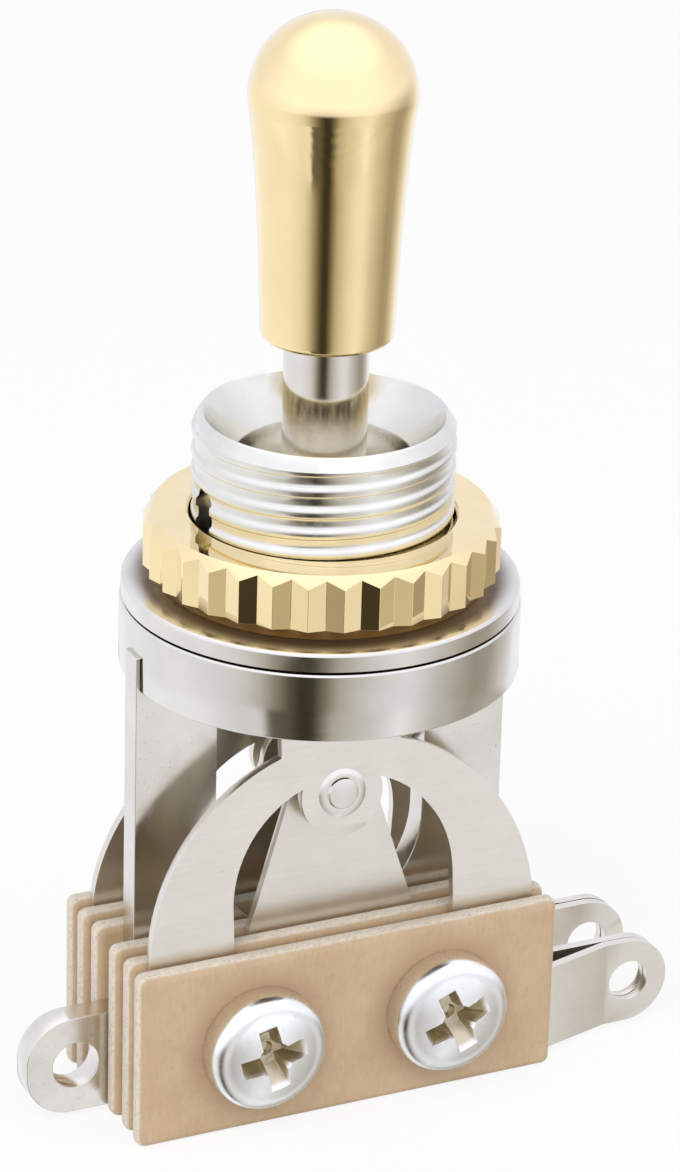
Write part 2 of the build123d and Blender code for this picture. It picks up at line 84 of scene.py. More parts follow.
# ---- Studio: floor, world and lamps -------------------------------------------------------------
# A plain pale floor under the insulating plates, soft white boxes all round, and a dark gap between
# them below the lens, which every bright turned piece shows as one dark upright band.
class Wire:
    """One output of a shader node. Arithmetic on wires and numbers adds Math nodes."""

    def __init__(self, shader, socket):
        self.shader = shader
        self.socket = socket

    def out(self, name):
        return Wire(self.shader, self.socket.node.outputs[name])

    def calc(self, operation, *values):
        return self.shader.node("Math", {"operation": operation}, *values)

    def __add__(self, other):
        return self.calc("ADD", self, other)

    def __sub__(self, other):
        return self.calc("SUBTRACT", self, other)

    def __rsub__(self, other):
        return self.calc("SUBTRACT", other, self)

    def __mul__(self, other):
        return self.calc("MULTIPLY", self, other)

    def __truediv__(self, other):
        return self.calc("DIVIDE", self, other)

    __radd__ = __add__
    __rmul__ = __mul__

    def size(self):
        return self.calc("ABSOLUTE", self)

    def least(self, other):
        return self.calc("MINIMUM", self, other)

    def rise(self, low, high):
        """0 below low, 1 above high, and a soft step between them."""
        return self.shader.node("MapRange", {"interpolation_type": "SMOOTHSTEP"},
                                Value=self, From_Min=low, From_Max=high)

    def ramp(self, *stops):
        """Colour from (place, grey or colour) stops."""
        return self.shader.node("ValToRGB", {"stops": stops}, Fac=self)


class Shader:
    """The emptied node tree of a material or a world."""

    def __init__(self, owner):
        owner.use_nodes = True
        self.owner = owner
        self.tree = owner.node_tree
        self.tree.nodes.clear()

    def node(self, kind, settings=None, *numbered, **named):
        """Adds a node: its settings first, then its sockets by place or by name."""
        made = self.tree.nodes.new("ShaderNode" + kind)
        for key, value in (settings or {}).items():
            if key == "stops":
                self.write_stops(made.color_ramp, value)
            else:
                setattr(made, key, value)
        sockets = list(zip(made.inputs, numbered))
        sockets += [(made.inputs[key.replace("_", " ")], value) for key, value in named.items()]
        for socket, value in sockets:
            if isinstance(value, Wire):
                self.tree.links.new(value.socket, socket)
            else:
                socket.default_value = value
        return Wire(self, made.outputs[0]) if made.outputs else None

    def write_stops(self, ramp, stops):
        while len(ramp.elements) < len(stops):
            ramp.elements.new(0.5)
        for element, (place, colour) in zip(ramp.elements, stops):
            if not isinstance(colour, tuple):
                colour = (colour,) * 3
            element.position = place
            element.color = (*colour, 1)

    def mix(self, factor, first, second):
        """Colour between two colours."""
        made = self.node("Mix", {"data_type": "RGBA"}, factor)
        node = made.socket.node
        for socket, value in ((node.inputs[6], first), (node.inputs[7], second)):
            if isinstance(value, Wire):
                self.tree.links.new(value.socket, socket)
            else:
                socket.default_value = (*value, 1)
        return Wire(self, node.outputs[2])

    def vector(self, operation, *values):
        return self.node("VectorMath", {"operation": operation}, *values)

    def reach(self, place, axes):
        """Distance from the origin, measured along those axes that are 1."""
        return self.vector("LENGTH", self.vector("MULTIPLY", place, axes)).out("Value")

    def noise(self, place, scale, detail=2.0, roughness=0.5):
        """Soft noise from 0 to 1, scale waves to the metre."""
        return self.node("TexNoise", None, Vector=place, Scale=scale, Detail=detail,
                         Roughness=roughness).out("Fac")


FLOOR_R = 1.5
FLOOR_WHITE = 0.93
FLOOR_GLOW = 0.85             # share of plain white in what the lens sees of the floor

floor_z = cad_box[0].z
bpy.ops.mesh.primitive_circle_add(vertices=96, radius=FLOOR_R, fill_type="NGON", location=(0, 0, floor_z))
floor = bpy.context.object
floor.name = "floor"
floor.visible_glossy = False
shader = Shader(bpy.data.materials.new("floor_paper"))
paper = shader.node("BsdfDiffuse", None, Color=(FLOOR_WHITE,) * 3 + (1,))
glow = shader.node("Emission", None, Color=(1, 1, 1, 1), Strength=1.0)
seen = shader.node("LightPath").out("Is Camera Ray") * FLOOR_GLOW
shader.node("OutputMaterial", None, Surface=shader.node("MixShader", None, seen, paper, glow))
floor.data.materials.append(shader.owner)

# Brightness of the studio round the switch, by the angle from below the lens, from half a turn to
# the left to half a turn to the right
STUDIO = (
    (-180, 0.55), (-166, 0.95), (-150, 1.02), (-68, 0.97), (-50, 0.88), (-40, 0.78), (-32, 0.60),
    (-24, 0.34), (-16, 0.13), (-9, 0.045), (-2, 0.06), (5, 0.24), (12, 0.50), (24, 0.72), (33, 0.84),
    (42, 0.92), (52, 0.95), (60, 0.88), (70, 0.72), (84, 0.56), (100, 0.40), (114, 0.43),
    (131, 0.72), (148, 0.98), (166, 0.95), (180, 0.80))
# The same close to the table, where the left box's stand ends in a hard edge
STUDIO_LOW = (
    (-180, 0.80), (-150, 1.05), (-76, 1.04), (-54, 0.93), (-44, 0.86), (-35, 0.90), (-31, 0.84),
    (-28.5, 0.17), (-16, 0.12), (-9, 0.045), (-2, 0.05), (3, 0.22), (9, 0.50), (21, 0.68), (31, 0.76),
    (41, 0.88), (51, 1.04), (61, 0.86), (72, 0.70), (84, 0.60), (98, 0.46), (112, 0.47), (132, 0.56),
    (152, 0.62), (166, 0.62), (180, 0.80))
# Heights here are those of directions, from -1 straight down to 1 straight up
LOW_START = -0.46             # the low boxes fade in from here down
LOW_END = -0.485
GAP_LOW = -0.26               # the boxes fade into the ceiling from here up
GAP_TOP = 0.04
RAGGED = 0.09                 # how far the hard edge wanders, in turns
OVERHEAD_BACK = 0.95          # ceiling behind the switch
OVERHEAD_FRONT = 1.22         # ceiling before it
ZENITH = 1.4                  # straight above it
ZENITH_FROM = 0.5             # the ceiling turns into the zenith between these heights
ZENITH_FULL = 0.95
FRONT_FULL = 0.8              # how far forward the ceiling before the switch is reached
CEILING_TINT = (1, 1.03, 1.19)
FILL = 0.62                   # soft light on what is not bright metal
LAMP_DISTANCE = 0.5


def warmed(grey):
    """The boxes are a little cool, and the darker parts of the studio browner."""
    dark = 1 - min(grey, 1)
    return (grey, grey * (1.03 - 0.16 * dark), grey * (1.14 - 0.54 * dark))


world = bpy.context.scene.world or bpy.data.worlds.new("studio")
bpy.context.scene.world = world
shader = Shader(world)
direction = shader.node("TexCoord").out("Generated")
ahead = shader.vector("DOT_PRODUCT", direction, (-sin(CAMERA_TURN), -cos(CAMERA_TURN), 0)).out("Value")
aside = shader.vector("DOT_PRODUCT", direction, (cos(CAMERA_TURN), -sin(CAMERA_TURN), 0)).out("Value")
height = shader.vector("DOT_PRODUCT", direction, (0, 0, 1)).out("Value")
turn = ahead.calc("ARCTAN2", aside, ahead) / (2 * pi) + 0.5
ragged = shader.noise(shader.node("CombineXYZ", None, 0, 0, height), 150, 3.0, 0.6)
high, low = (place.ramp(*((angle / 360 + 0.5, warmed(grey)) for angle, grey in stops))
             for place, stops in ((turn, STUDIO), (turn + (ragged - 0.5) * RAGGED, STUDIO_LOW)))
boxes = shader.mix(height.rise(LOW_END, LOW_START), low, high)
back, front, zenith = (tuple(lit * tint for tint in CEILING_TINT)
                       for lit in (OVERHEAD_BACK, OVERHEAD_FRONT, ZENITH))
overhead = shader.mix(ahead.rise(-FRONT_FULL, FRONT_FULL), back, front)
ceiling = shader.mix(height.rise(ZENITH_FROM, ZENITH_FULL), overhead, zenith)
seen_in_metal = shader.mix(height.rise(GAP_LOW, GAP_TOP), boxes, ceiling)
path = shader.node("LightPath")
shown = path.out("Is Camera Ray")
mirrored = path.out("Is Glossy Ray")
colour = shader.mix(mirrored, (FILL,) * 3, seen_in_metal)
colour = shader.mix(shown, colour, (1, 1, 1))
shader.node("OutputWorld", None, Surface=shader.node("Background", None, Color=colour, Strength=1.0))


def soft_lamp(name, turn, rise, size, power):
    """A square soft box aimed at the switch, turned from the front to the left and raised."""
    aim = Vector((-sin(turn) * cos(rise), -cos(turn) * cos(rise), sin(rise)))
    bpy.ops.object.light_add(type="AREA", location=CAMERA_TARGET + aim * LAMP_DISTANCE)
    lamp = bpy.context.object
    lamp.name = name
    lamp.rotation_mode = "QUATERNION"
    lamp.rotation_quaternion = (-aim).to_track_quat("-Z", "Y")
    lamp.data.size = size
    lamp.data.energy = power
    lamp.visible_glossy = False
    lamp.visible_camera = False


soft_lamp("key_box", turn=radians(50), rise=radians(48), size=0.35, power=1.15)
soft_lamp("fill_box", turn=radians(-45), rise=radians(40), size=0.40, power=0.45)


# ---- Bushing ------------------------------------------------------------------------------------
# The body of the switch: a threaded barrel with a conical mouth, the round flange that seats against
# the panel and the spigot that holds the cup, all one turned piece of nickel-plated brass. The
# keyway is milled in its left side after threading.
THREAD_R = 6.0
THREAD_PITCH = 1.0
THREAD_DEPTH = 0.15
THREAD_FOOT = -0.355          # a crest's height on the +X side
# Half of one thread, from its crest to the root: share of the pitch, share of the depth
THREAD_FORM = ((0, 0), (0.06, 0.02), (0.14, 0.10), (0.20, 0.22), (0.235, 0.50), (0.27, 0.80),
               (0.33, 0.92), (0.42, 0.98))
BARREL_H = 7.9
RIM_CHAMFER = 0.4
RIM_LEAD = 0.58               # height of the chamfer
RIM_INNER_R = 5.5
BARREL_FOOT = -0.3            # sunk in the flange
MOUTH_DEPTH = 1.9
HOLE_R = 3.94
FLANGE_R = 9.12
FLANGE_T = 0.9
FLANGE_EDGE_R = 0.16
PIVOT_Z = 1.6
SEAT_R = 4.45
SPIGOT_R = 6.6
STAKE_REACH = 0.5
CUP_CEILING = -2.0
BUSHING_FOOT = -2.45
KEYWAY_W = 1.5
KEYWAY_DEPTH = 0.7
KEYWAY_H = 5.0
PIN_SLOT_HALF = 0.9           # half the width of the pivot pin's slots
RING_GROOVE = 0.48            # depth of the retaining ring's groove
RING_TOP = -0.75
RING_LOW = -1.41
NUT_SHADE_IN = 8.0                # painted shade and reflection of the nut on the flange's top fade out between these two radii
NUT_SHADE_OUT = 9.05
NUT_SHADE_BROWN = (0.19, 0.145, 0.11)
POLE_R = 0.0001               # stands for the axis until the pole is closed
WELD = 0.0006                 # points nearer than this are one
SIDES = 160


def arc(centre_r, centre_z, radius, start, end, steps):
    """Corners (radius, height) along a round in a half section, from one angle in degrees to another."""
    turns = [radians(start + (end - start) * i / steps) for i in range(steps + 1)]
    return [(centre_r + radius * cos(t), centre_z + radius * sin(t)) for t in turns]


def pick(*pieces):
    """Selects these pieces alone and makes the last of them the active one."""
    bpy.ops.object.select_all(action="DESELECT")
    for piece in pieces:
        piece.select_set(True)
        bpy.context.view_layer.objects.active = piece


def place_mesh(piece):
    """Moves the object's place into its mesh, so that the object sits at the origin."""
    pick(piece)
    bpy.ops.object.transform_apply(location=True, rotation=True, scale=True)


def tidy_mesh(piece):
    """Closes poles and seams and turns every face outwards."""
    bpy.context.view_layer.objects.active = piece
    bpy.ops.object.mode_set(mode="EDIT")
    bpy.ops.mesh.select_all(action="SELECT")
    bpy.ops.mesh.remove_doubles(threshold=WELD * MM)
    bpy.ops.mesh.normals_make_consistent(inside=False)
    bpy.ops.object.mode_set(mode="OBJECT")


def turned(name, section, sides=SIDES):
    """A piece turned round Z: a ring of edges is drawn from corner to corner of its half section."""
    section = [(max(r, POLE_R), z) for r, z in section]
    r, z = section[0]
    bpy.ops.mesh.primitive_circle_add(vertices=sides, radius=r * MM, location=(0, 0, z * MM))
    piece = bpy.context.object
    piece.name = name
    bpy.ops.object.mode_set(mode="EDIT")
    bpy.ops.mesh.select_all(action="SELECT")
    for next_r, next_z in section[1:]:
        bpy.ops.mesh.extrude_edges_move(TRANSFORM_OT_translate={"value": (0, 0, (next_z - z) * MM)})
        bpy.ops.transform.resize(value=(next_r / r, next_r / r, 1))
        r, z = next_r, next_z
    bpy.ops.object.mode_set(mode="OBJECT")
    place_mesh(piece)
    tidy_mesh(piece)
    return piece


def apply_modifier(piece, kind, **settings):
    """Adds a modifier with its settings and applies it at once."""
    bpy.context.view_layer.objects.active = piece
    modifier = piece.modifiers.new(kind.lower(), kind)
    for key, value in settings.items():
        setattr(modifier, key, value)
    bpy.ops.object.modifier_apply(modifier=modifier.name)


def carve(piece, tool, operation="DIFFERENCE"):
    """Cuts a piece with a tool, or keeps what it shares with the tool, which is used up."""
    apply_modifier(piece, "BOOLEAN", object=tool, operation=operation, solver="EXACT",
                   double_threshold=WELD * MM / 1000)
    bpy.data.objects.remove(tool)


def brick(low, high):
    """A box between two corners, in mm, for cutting."""
    low, high = Vector(low), Vector(high)
    bpy.ops.mesh.primitive_cube_add(size=MM, location=(low + high) / 2 * MM, scale=high - low)
    piece = bpy.context.object
    place_mesh(piece)
    return piece


def bar(radius, centre, length, axis):
    """A round bar through a centre, in mm, along X or Y, for cutting."""
    turns = {"X": (0, pi / 2, 0), "Y": (pi / 2, 0, 0)}
    bpy.ops.mesh.primitive_cylinder_add(vertices=48, radius=radius * MM, depth=length * MM,
                                        location=Vector(centre) * MM, rotation=turns[axis])
    piece = bpy.context.object
    place_mesh(piece)
    return piece


def shade(piece, angle):
    """Smooth shading, with an edge kept sharp where it turns by more than the angle."""
    pick(piece)
    bpy.ops.object.shade_smooth_by_angle(angle=radians(angle))


def soften(piece, width, angle=28):
    """Breaks sharp edges with a small round and keeps the flats flat."""
    apply_modifier(piece, "BEVEL", width=width * MM, segments=2, limit_method="ANGLE",
                   angle_limit=radians(angle), use_clamp_overlap=True)
    pick(piece)
    bpy.ops.object.shade_smooth()
    apply_modifier(piece, "WEIGHTED_NORMAL", keep_sharp=True)


def cover(piece, finish):
    """Gives a piece or a CAD node its one material."""
    piece.data.materials.clear()
    piece.data.materials.append(finish)


def dress(piece, finish, slot, body, *nodes):
    """Gives a finished piece its material and its body, and hides the CAD nodes that it stands for."""
    cover(piece, finish)
    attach(piece, body)
    if nodes:
        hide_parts(*nodes)


def threaded_rod(name, radius, pitch, depth, low, high, sides=SIDES):
    """A solid rod with a right-hand thread: the thread form is drawn up a line, one form after the
    other, and the line is screwed round Z by one pitch. Both ends are then cut flat."""
    form = [*THREAD_FORM, (0.5, 1), *((1 - along, share) for along, share in reversed(THREAD_FORM[1:]))]
    corners = []
    for turn in range(-2, ceil((high - low) / pitch) + 2):
        for along, share in form:
            corners.append(Vector((radius - depth * share, 0, low + (turn + along) * pitch)) * MM)
    bpy.ops.mesh.primitive_plane_add(size=MM)
    piece = bpy.context.object
    piece.name = name
    bpy.ops.object.mode_set(mode="EDIT")
    bpy.ops.mesh.select_mode(type="VERT")
    bpy.ops.mesh.select_all(action="SELECT")
    bpy.ops.mesh.merge(type="CENTER")
    bpy.ops.transform.translate(value=corners[0])
    for start, end in zip(corners, corners[1:]):
        bpy.ops.mesh.extrude_vertices_move(TRANSFORM_OT_translate={"value": end - start})
    bpy.ops.object.mode_set(mode="OBJECT")
    apply_modifier(piece, "SCREW", angle=2 * pi, screw_offset=pitch * MM, steps=sides,
                   render_steps=sides, axis="Z")
    bpy.ops.object.mode_set(mode="EDIT")
    for z, side in ((low, {"clear_inner": True}), (high, {"clear_outer": True})):
        bpy.ops.mesh.select_all(action="SELECT")
        bpy.ops.mesh.remove_doubles(threshold=WELD * MM)
        bpy.ops.mesh.bisect(plane_co=(0, 0, z * MM), plane_no=(0, 0, 1), use_fill=True,
                            threshold=WELD * MM, **side)
    bpy.ops.object.mode_set(mode="OBJECT")
    tidy_mesh(piece)
    return piece


def plated(name, colour, roughness, wave=0.0008, marks=0.0, grain=0.0, tint=0.05, coat=0.0, specks=0.0,
           painted_shade=None):
    """Plated metal. wave is the depth in mm of the plating's faint waviness, marks that of the lathe's
    lines round Z, grain that of fine pitting, tint how much its cloudy places are duller, specks the
    share of darker pinpoints, and coat that of a clear film. The last argument gives a function for
    the share of painted shade over the surface, the shade's colour and what it adds to the roughness."""
    shader = Shader(bpy.data.materials.new(name))
    place = shader.node("TexCoord").out("Object")
    clouds = shader.noise(place, 260, 3.0, 0.55)
    smears = shader.noise(place, 900, 4.0, 0.6)
    shadow = tuple(c * (1 - 2.2 * tint) for c in colour)
    base = shader.mix(clouds.rise(0.30, 0.72), shadow, colour)
    if specks:
        dots = shader.noise(place, 5200, 2.0, 0.6).rise(0.66, 0.74) * specks
        base = shader.mix(dots, base, tuple(c * 0.35 for c in colour))
    rough = smears.rise(0.25, 0.80) * (roughness * 0.8) + roughness * 0.65
    if painted_shade:
        spread, shade_colour, dulling = painted_shade
        share = spread(shader, place)
        base = shader.mix(share, base, shade_colour)
        rough = rough + share * dulling
    relief = shader.noise(place, 620, 2.0, 0.5) * (wave * MM)
    if marks:
        radius = shader.reach(place, (1, 1, 0))
        height = shader.node("SeparateXYZ", None, place).out("Z")
        lines = shader.node("CombineXYZ", None, radius, clouds * 0.00002, height)
        relief = relief + shader.noise(lines, 9000, 3.0, 0.65) * (marks * MM)
    if grain:
        relief = relief + shader.noise(place, 7000, 3.0, 0.6) * (grain * MM)
    bump = shader.node("Bump", None, Strength=1.0, Distance=1.0, Height=relief)
    surface = shader.node("BsdfPrincipled", None, Base_Color=base, Metallic=1.0, Roughness=rough,
                          Coat_Weight=coat, Coat_Roughness=0.03, Normal=bump)
    shader.node("OutputMaterial", None, Surface=surface)
    return shader.owner


barrel_nickel = plated("barrel_nickel", (0.82, 0.795, 0.70), 0.21, wave=0.0006, marks=0.00020, grain=0.0003)

throat_low = PIVOT_Z + sqrt(SEAT_R**2 - HOLE_R**2)
seat_angle = degrees(asin((throat_low - PIVOT_Z) / SEAT_R))
barrel = threaded_rod("bushing_barrel", THREAD_R, THREAD_PITCH, THREAD_DEPTH, THREAD_FOOT,
                      BARREL_H + 0.4)
blank_r = THREAD_R + 0.5
crest_r = THREAD_R - RIM_CHAMFER
chamfer_fall = (blank_r - crest_r) * RIM_LEAD / RIM_CHAMFER
blank = turned("barrel_blank", [
    (SEAT_R, BARREL_FOOT), (blank_r, BARREL_FOOT), (blank_r, BARREL_H - chamfer_fall),
    (crest_r + 0.05, BARREL_H - 0.075), (crest_r + 0.01, BARREL_H - 0.03),
    (crest_r - 0.04, BARREL_H - 0.005), (RIM_INNER_R + 0.03, BARREL_H),
    (RIM_INNER_R - 0.02, BARREL_H - 0.025), (RIM_INNER_R - 0.05, BARREL_H - 0.07),
    (HOLE_R + 0.05, BARREL_H - MOUTH_DEPTH + 0.05), (HOLE_R, BARREL_H - MOUTH_DEPTH - 0.05),
    *arc(0, PIVOT_Z, SEAT_R, seat_angle, 0, 6), (SEAT_R, BARREL_FOOT)])
carve(barrel, blank, "INTERSECT")
key_round = KEYWAY_H - KEYWAY_W / 2
key_floor = -THREAD_R + KEYWAY_DEPTH
carve(barrel, brick((-blank_r - 1, -KEYWAY_W / 2, BARREL_FOOT - 1), (key_floor, KEYWAY_W / 2, key_round)))
carve(barrel, bar(KEYWAY_W / 2, (key_floor - 1, 0, key_round), 2, "X"))
tidy_mesh(barrel)
shade(barrel, 34)
dress(barrel, barrel_nickel, "nickel_bright", "frame", "bushing")

stake_r = SPIGOT_R + STAKE_REACH
flange = turned("bushing_flange", [
    (SEAT_R, BUSHING_FOOT), (stake_r - 0.06, BUSHING_FOOT), (stake_r, BUSHING_FOOT + 0.06),
    (stake_r, CUP_CEILING), (SPIGOT_R, CUP_CEILING), (SPIGOT_R, -FLANGE_T),
    (FLANGE_R - 0.05, -FLANGE_T), (FLANGE_R, -FLANGE_T + 0.05),
    *arc(FLANGE_R - FLANGE_EDGE_R, -FLANGE_EDGE_R, FLANGE_EDGE_R, 0, 90, 6), (SEAT_R, 0),
    (SEAT_R, RING_TOP), (SEAT_R + RING_GROOVE, RING_TOP), (SEAT_R + RING_GROOVE, RING_LOW),
    (SEAT_R, RING_LOW), (SEAT_R, BUSHING_FOOT)], 192)
slot_half = SEAT_R + 0.5
carve(flange, brick((-slot_half, -PIN_SLOT_HALF, BUSHING_FOOT - 1), (slot_half, PIN_SLOT_HALF, 1)))
shade(flange, 34)


def painted_nut_shade(shader, place):
    """The share of the dull brown ring on the flange's top round the nut: painted shade and reflection of
    the nut.
    """
    return 1 - shader.reach(place, (1, 1, 0)).rise(NUT_SHADE_IN * MM, NUT_SHADE_OUT * MM)


# The flange's top is painted browner round the nut, as painted shade and reflection of the nut, and is also
# made rougher there.
flange_nickel = plated("flange_nickel", (0.80, 0.765, 0.68), 0.16, marks=0.00020,
                       painted_shade=(painted_nut_shade, NUT_SHADE_BROWN, 0.25))
dress(flange, flange_nickel, "nickel_bright", "frame", "bushing")


# ---- Lever, ring, pin and cam -------------------------------------------------------------------
# The lever is turned with its ball and stem in one piece and plated. Its ball sits in the barrel
# between the seat and a split ring, a steel pin across it keeps it to one plane, and an insulating
# cam is pushed on the stem below.
ROD_R = 1.94
BALL_R = 4.30
BALL_FLAT = -1.4              # height of the flat turned under the ball
ROOT_FILLET = 0.7
STEM_R = 1.2
STEM_FOOT = -6.7
STUD_R = 1.5
STUD_TOP = 18.35
SHOULDER = 12.35              # the rod's, inside the tip's foot

flat_angle = -degrees(asin((PIVOT_Z - BALL_FLAT) / BALL_R))
fillet_r = ROD_R + ROOT_FILLET
fillet_rise = sqrt((BALL_R + ROOT_FILLET)**2 - fillet_r**2)
fillet_angle = degrees(asin(fillet_rise / (BALL_R + ROOT_FILLET)))
lever = turned("lever_rod", [
    (0, STEM_FOOT), (STEM_R - 0.15, STEM_FOOT), (STEM_R, STEM_FOOT + 0.15), (STEM_R, BALL_FLAT),
    *arc(0, PIVOT_Z, BALL_R, flat_angle, fillet_angle, 28),
    *arc(fillet_r, PIVOT_Z + fillet_rise, ROOT_FILLET, 180 + fillet_angle, 180, 8)[1:],
    (ROD_R, SHOULDER), (STUD_R, SHOULDER), (STUD_R, STUD_TOP), (0, STUD_TOP)])
shade(lever, 34)
bright_nickel = plated("bright_nickel", (0.82, 0.775, 0.685), 0.10, wave=0.0006, marks=0.00012)
dress(lever, bright_nickel, "nickel_bright", "lever", "lever")

plain_steel = plated("plain_steel", (0.56, 0.55, 0.53), 0.24, grain=0.0003)
for node in ("pivot_pin", "retaining_ring"):
    cover(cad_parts[node], plain_steel)


def phenolic(name, light, dark, edge, painted_shade=None):
    """Paper-based laminate: mottled faces with paper fibres, and paler sawn edges that show its
    layers. The last argument gives a function for the share of a darker patch over its faces, partly
    a real stain and partly painted shade, and the patch's colour."""
    shader = Shader(bpy.data.materials.new(name))
    coordinates = shader.node("TexCoord")
    place = coordinates.out("Object")
    facing = shader.node("SeparateXYZ", None, coordinates.out("Normal")).out("Y").size()
    axes = shader.node("SeparateXYZ", None, place)
    mottle = shader.noise(place, 420, 4.0, 0.6)
    fibres = shader.noise(shader.vector("MULTIPLY", place, (1.0, 1.0, 0.28)), 6500, 3.0, 0.65)
    flecks = shader.noise(place, 3300, 2.0, 0.5).rise(0.60, 0.72)
    face = shader.mix(mottle.rise(0.28, 0.74) * 0.65 + fibres.rise(0.35, 0.7) * 0.35, dark, light)
    face = shader.mix(flecks * 0.22, face, tuple(c * 0.72 for c in dark))
    if painted_shade:
        spread, shade_colour = painted_shade
        face = shader.mix(spread(shader, place), face, shade_colour)
    layers = shader.node("CombineXYZ", None, axes * 0.10, axes.out("Y"), axes.out("Z") * 0.10)
    plies = shader.noise(layers, 14000, 3.0, 0.6)
    crumbs = shader.noise(place, 6500, 4.0, 0.65)
    sawn = shader.mix(crumbs.rise(0.46, 0.68) * 0.45 + plies.rise(0.5, 0.66) * 0.3, edge,
                      tuple(c * 0.55 for c in edge))
    base = shader.mix(facing.rise(0.5, 0.8), sawn, face)
    relief = fibres * (0.004 * MM) + mottle * (0.01 * MM)
    rough_cut = (crumbs * (0.03 * MM) + plies * (0.015 * MM)) * (1 - facing.rise(0.5, 0.8))
    bump = shader.node("Bump", None, Strength=1.0, Distance=1.0, Height=relief + rough_cut)
    surface = shader.node("BsdfPrincipled", None, Base_Color=base, Normal=bump,
                          Roughness=fibres * 0.15 + 0.50)
    shader.node("OutputMaterial", None, Surface=surface)
    return shader.owner


dark_phenolic = phenolic("dark_phenolic", (0.115, 0.062, 0.036), (0.075, 0.040, 0.024), (0.16, 0.10, 0.065))
cover(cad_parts["cam"], dark_phenolic)


# ---- Tip ----------------------------------------------------------------------------------------
# The turned handle that screws on the lever's stud: brass, domed, polished and gold plated, with a
# crease where the dome meets the long taper and a rounded foot.
TIP_BOTTOM = 11.55
TIP_TOP = 26.45
TIP_CREASE = 22.8
TIP_EDGE_R = 0.3
TIP_FOOT_R = 3.02
TIP_HEAD_R = 3.79
# Gauge points of the taper: height over the foot, radius
TIP_FLARE = ((TIP_EDGE_R, TIP_FOOT_R), (3.2, 3.14), (7.9, 3.42), (TIP_CREASE - TIP_BOTTOM, TIP_HEAD_R))
TAPER_STEPS = 22
DOME_STEPS = 32
CREASE_R = 0.04
DOME_LEAN = 9                 # degrees that the dome leans in at the crease
LEAN_H = 0.6                  # height in which it comes back to its round
STUD_HOLE_R = 1.53
STUD_HOLE_TOP = 18.85
ROD_HOLE_R = 1.97
QUARTER_ROUND = 0.5523        # reach of a curve's handles that makes it a quarter of a circle


def flare_radius(h):
    """The smooth curve through the four gauge points of the taper."""
    total = 0.0
    for i, (hi, ri) in enumerate(TIP_FLARE):
        share = ri
        for j, (hj, _) in enumerate(TIP_FLARE):
            if j != i:
                share *= (h - hj) / (hi - hj)
        total += share
    return total


def dome_corner(t):
    """Corner of the dome's section, from the crease at 0 to the top at 1."""
    rise = TIP_TOP - TIP_CREASE
    a, b, c, d = (1 - t)**3, 3 * t * (1 - t)**2, 3 * t**2 * (1 - t), t**3
    over = rise * (b * QUARTER_ROUND + c + d)
    lean = tan(radians(DOME_LEAN)) * over * exp(-over / LEAN_H)
    return TIP_HEAD_R * (a + b + c * QUARTER_ROUND) - lean, TIP_CREASE + over


taper_h = TIP_CREASE - CREASE_R - TIP_BOTTOM - TIP_EDGE_R
taper = [TIP_EDGE_R + taper_h * i / TAPER_STEPS for i in range(1, TAPER_STEPS + 1)]
tip = turned("tip_handle", [
    (0, STUD_HOLE_TOP), (STUD_HOLE_R, STUD_HOLE_TOP), (STUD_HOLE_R, SHOULDER), (ROD_HOLE_R, SHOULDER),
    (ROD_HOLE_R, TIP_BOTTOM),
    *arc(TIP_FOOT_R - TIP_EDGE_R, TIP_BOTTOM + TIP_EDGE_R, TIP_EDGE_R, -90, 0, 9),
    *((flare_radius(h), TIP_BOTTOM + h) for h in taper),
    *(dome_corner(i / DOME_STEPS) for i in range(1, DOME_STEPS)), (0, TIP_TOP)], 192)
shade(tip, 15)
gold = plated("gold_plating", (0.97, 0.775, 0.405), 0.045, wave=0.0011, marks=0.00010, tint=0.03, coat=0.35)
dress(tip, gold, "gold_plate", "lever", "tip")


# ---- Dress nut ----------------------------------------------------------------------------------
# Ring nut with a row of V grooves round its rim, bevelled above and below and gold plated to match
# the tip. It winds down the barrel and clamps the panel.
NUT_R = 8.17
NUT_H = 3.2
NUT_GROOVES = 32
NUT_GROOVE_DEPTH = 0.27
NUT_TURN = 4.8                # degrees from +X to a ridge
NUT_FACE_R = 7.75
NUT_TOP_DROP = 0.55
NUT_SEAT_R = 7.5
NUT_COLLAR_H = 0.6
NUT_BORE_R = 6.08
NUT_LEAD = 0.12               # bevel at both ends of the bore
NUT_EDGE = 0.03


def unselect(*groups):
    """Deselects a mesh's points, edges or faces."""
    for group in groups:
        group.foreach_set("select", [False] * len(group))


# A ring with two points to a groove; every second point of the two rings that bound the grooves is
# then drawn in to the groove's floor, and up the bevel at the top.
valley_r = NUT_R - NUT_GROOVE_DEPTH
valley_top = NUT_H - NUT_TOP_DROP * (valley_r - NUT_FACE_R) / (NUT_R - NUT_FACE_R)
collar_r = valley_r * cos(pi / NUT_GROOVES)
nut = turned("dress_nut_ring", [
    (NUT_BORE_R, NUT_LEAD), (NUT_BORE_R + NUT_LEAD, 0), (NUT_SEAT_R, 0), (collar_r, NUT_COLLAR_H),
    (NUT_R, NUT_COLLAR_H), (NUT_R, NUT_H - NUT_TOP_DROP), (NUT_FACE_R, NUT_H),
    (NUT_BORE_R + NUT_LEAD, NUT_H), (NUT_BORE_R, NUT_H - NUT_LEAD), (NUT_BORE_R, NUT_LEAD)],
    2 * NUT_GROOVES)
for vertex in nut.data.vertices:
    around = round(atan2(vertex.co.y, vertex.co.x) * NUT_GROOVES / pi)
    vertex.select = around % 2 == 1 and hypot(vertex.co.x, vertex.co.y) > (NUT_R - 0.01) * MM
unselect(nut.data.edges, nut.data.polygons)
bpy.ops.object.mode_set(mode="EDIT")
bpy.ops.mesh.select_mode(type="VERT")
bpy.ops.transform.resize(value=(valley_r / NUT_R, valley_r / NUT_R, 1))
bpy.ops.object.mode_set(mode="OBJECT")
